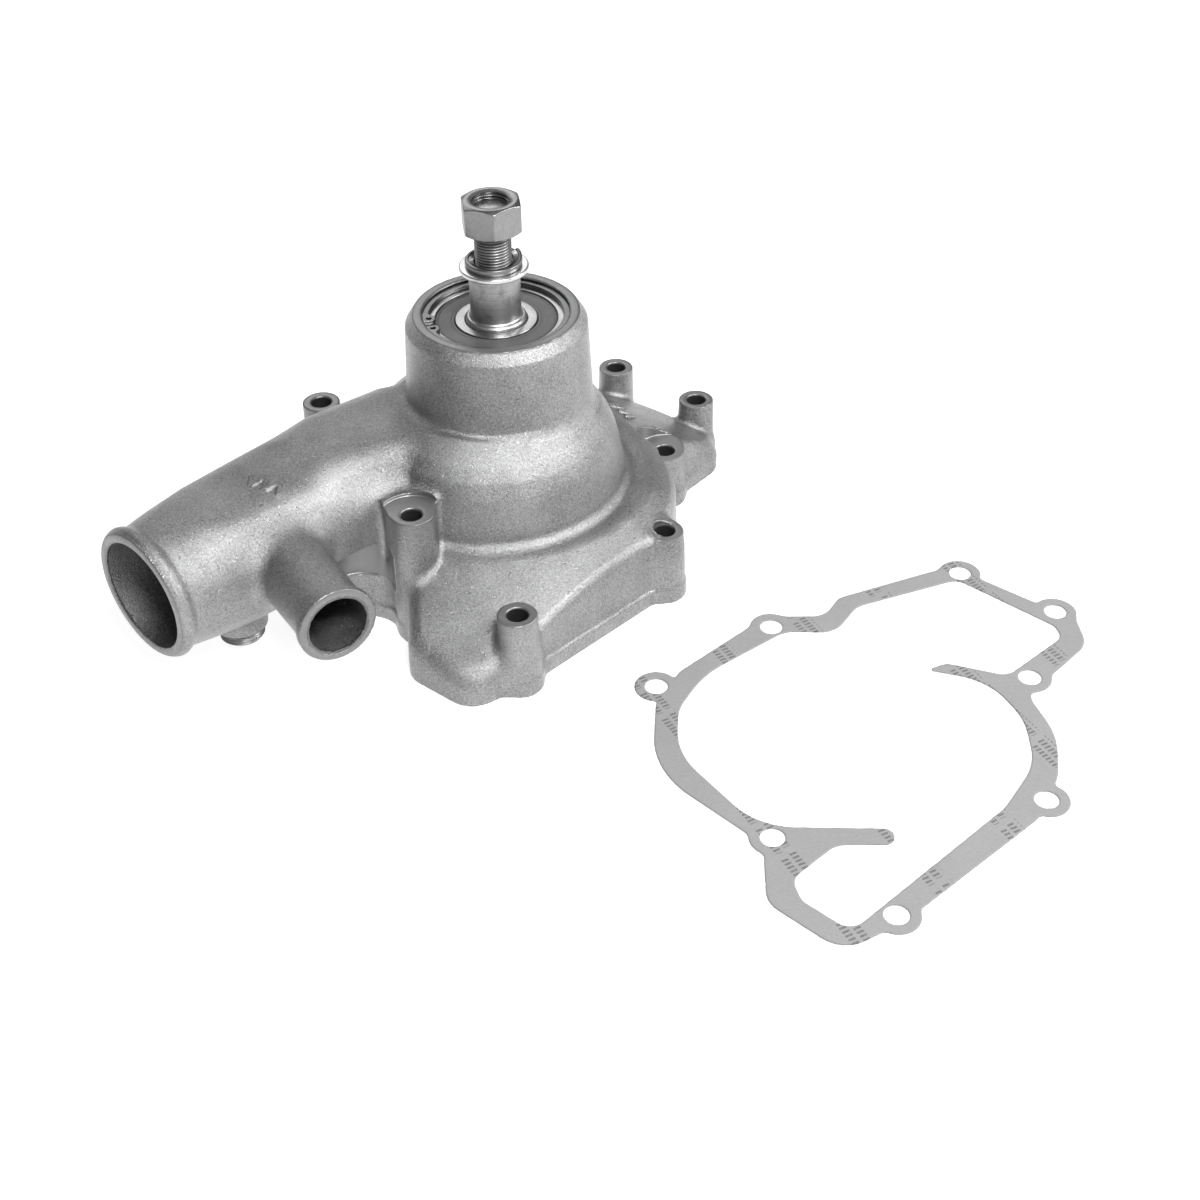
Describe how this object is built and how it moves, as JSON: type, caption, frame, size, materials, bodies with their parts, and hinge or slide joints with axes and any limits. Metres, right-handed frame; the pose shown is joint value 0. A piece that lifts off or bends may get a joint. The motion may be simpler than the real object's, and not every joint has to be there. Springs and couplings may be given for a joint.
{
  "type": "engine water pump",
  "caption": "Engine water pump: cast volute with bearing tower, sealed ball bearings, threaded drive shaft, side inlet and bypass pipes, and its loose mounting gasket.",
  "frame": {"origin": "the shaft axis in the plane of the mounting face", "axes": "+Z along the shaft from the mounting face to the nut; -Z faces the engine; +X and +Y lie in the mounting face, with the inlet pipe pointing towards -X and -Y"},
  "size_m": [0.4782, 0.4169, 0.1984],
  "materials": {
    "cast_aluminium": "satin silver-painted sand casting with a fine grain",
    "machined_steel": "turned",
    "cast_iron": "as cast",
    "nut_steel": "zinc plated, matt",
    "dark_steel": "dark spring steel",
    "bright_steel": "bright plated",
    "bearing_steel": "ground",
    "ball_steel": "polished",
    "cage_brass": "satin",
    "cup_brass": "drawn",
    "seal_rubber": "matt black",
    "carbon": "lapped carbon",
    "ceramic": "lapped ceramic",
    "gasket_paper": "grey gasket paper"
  },
  "bodies": {
    "housing": {"pump_housing": "cast_aluminium", "bearing_retaining_ring": "dark_steel", "front_bearing_outer_ring": "bearing_steel", "front_bearing_upper_seal": "seal_rubber", "front_bearing_lower_shield": "bearing_steel", "rear_bearing_outer_ring": "bearing_steel", "grease_lip_seal": "seal_rubber", "seal_cartridge_cup": "cup_brass", "seal_spring": "bright_steel", "seal_bellows": "seal_rubber", "seal_carbon_ring": "carbon", "pipe_plug": "machined_steel"},
    "rotor": {"drive_shaft": "machined_steel", "impeller": "cast_iron", "front_bearing_inner_ring": "bearing_steel", "bearing_spacer_tube": "machined_steel", "rear_bearing_inner_ring": "bearing_steel", "slinger_disc": "machined_steel", "seal_mating_ring": "ceramic", "mating_ring_rubber_cup": "seal_rubber", "flat_washer": "bright_steel"},
    "front_ball_set": {"front_bearing_balls": "ball_steel", "front_bearing_cage": "cage_brass"},
    "rear_ball_set": {"rear_bearing_balls": "ball_steel", "rear_bearing_cage": "cage_brass"},
    "lock_washer": {"spring_lock_washer": "dark_steel"},
    "nut": {"pulley_nut": "nut_steel"},
    "gasket": {"mounting_gasket": "gasket_paper"}
  },
  "joints": [
    {"name": "shaft_spin", "type": "hinge", "parent": "housing", "child": "rotor", "pos_m": [0, 0, 0.1], "axis": [0, 0, 1], "continuous": true},
    {"name": "front_ball_orbit", "type": "hinge", "parent": "housing", "child": "front_ball_set", "pos_m": [0, 0, 0.126], "axis": [0, 0, 1], "continuous": true},
    {"name": "rear_ball_orbit", "type": "hinge", "parent": "housing", "child": "rear_ball_set", "pos_m": [0, 0, 0.092], "axis": [0, 0, 1], "continuous": true},
    {"name": "nut_turn", "type": "hinge", "parent": "rotor", "child": "lock_washer", "pos_m": [0, 0, 0.165], "axis": [0, 0, 1], "range_deg": [-3220, 1800]},
    {"name": "nut_travel", "type": "slide", "parent": "lock_washer", "child": "nut", "axis": [0, 0, 1], "range_m": [-0.01345, 0.0076]},
    {"name": "gasket_lift", "type": "slide", "parent": "housing", "child": "gasket", "axis": [0, 0, 1], "range_m": [0, 0.00005]}
  ],
  "couplings": [
    {"joint": "front_ball_orbit", "follows": "shaft_spin", "ratio": 0.3794},
    {"joint": "rear_ball_orbit", "follows": "shaft_spin", "ratio": 0.3965},
    {"joint": "nut_travel", "follows": "nut_turn", "m_per_rad": 0.00023873}
  ]
}
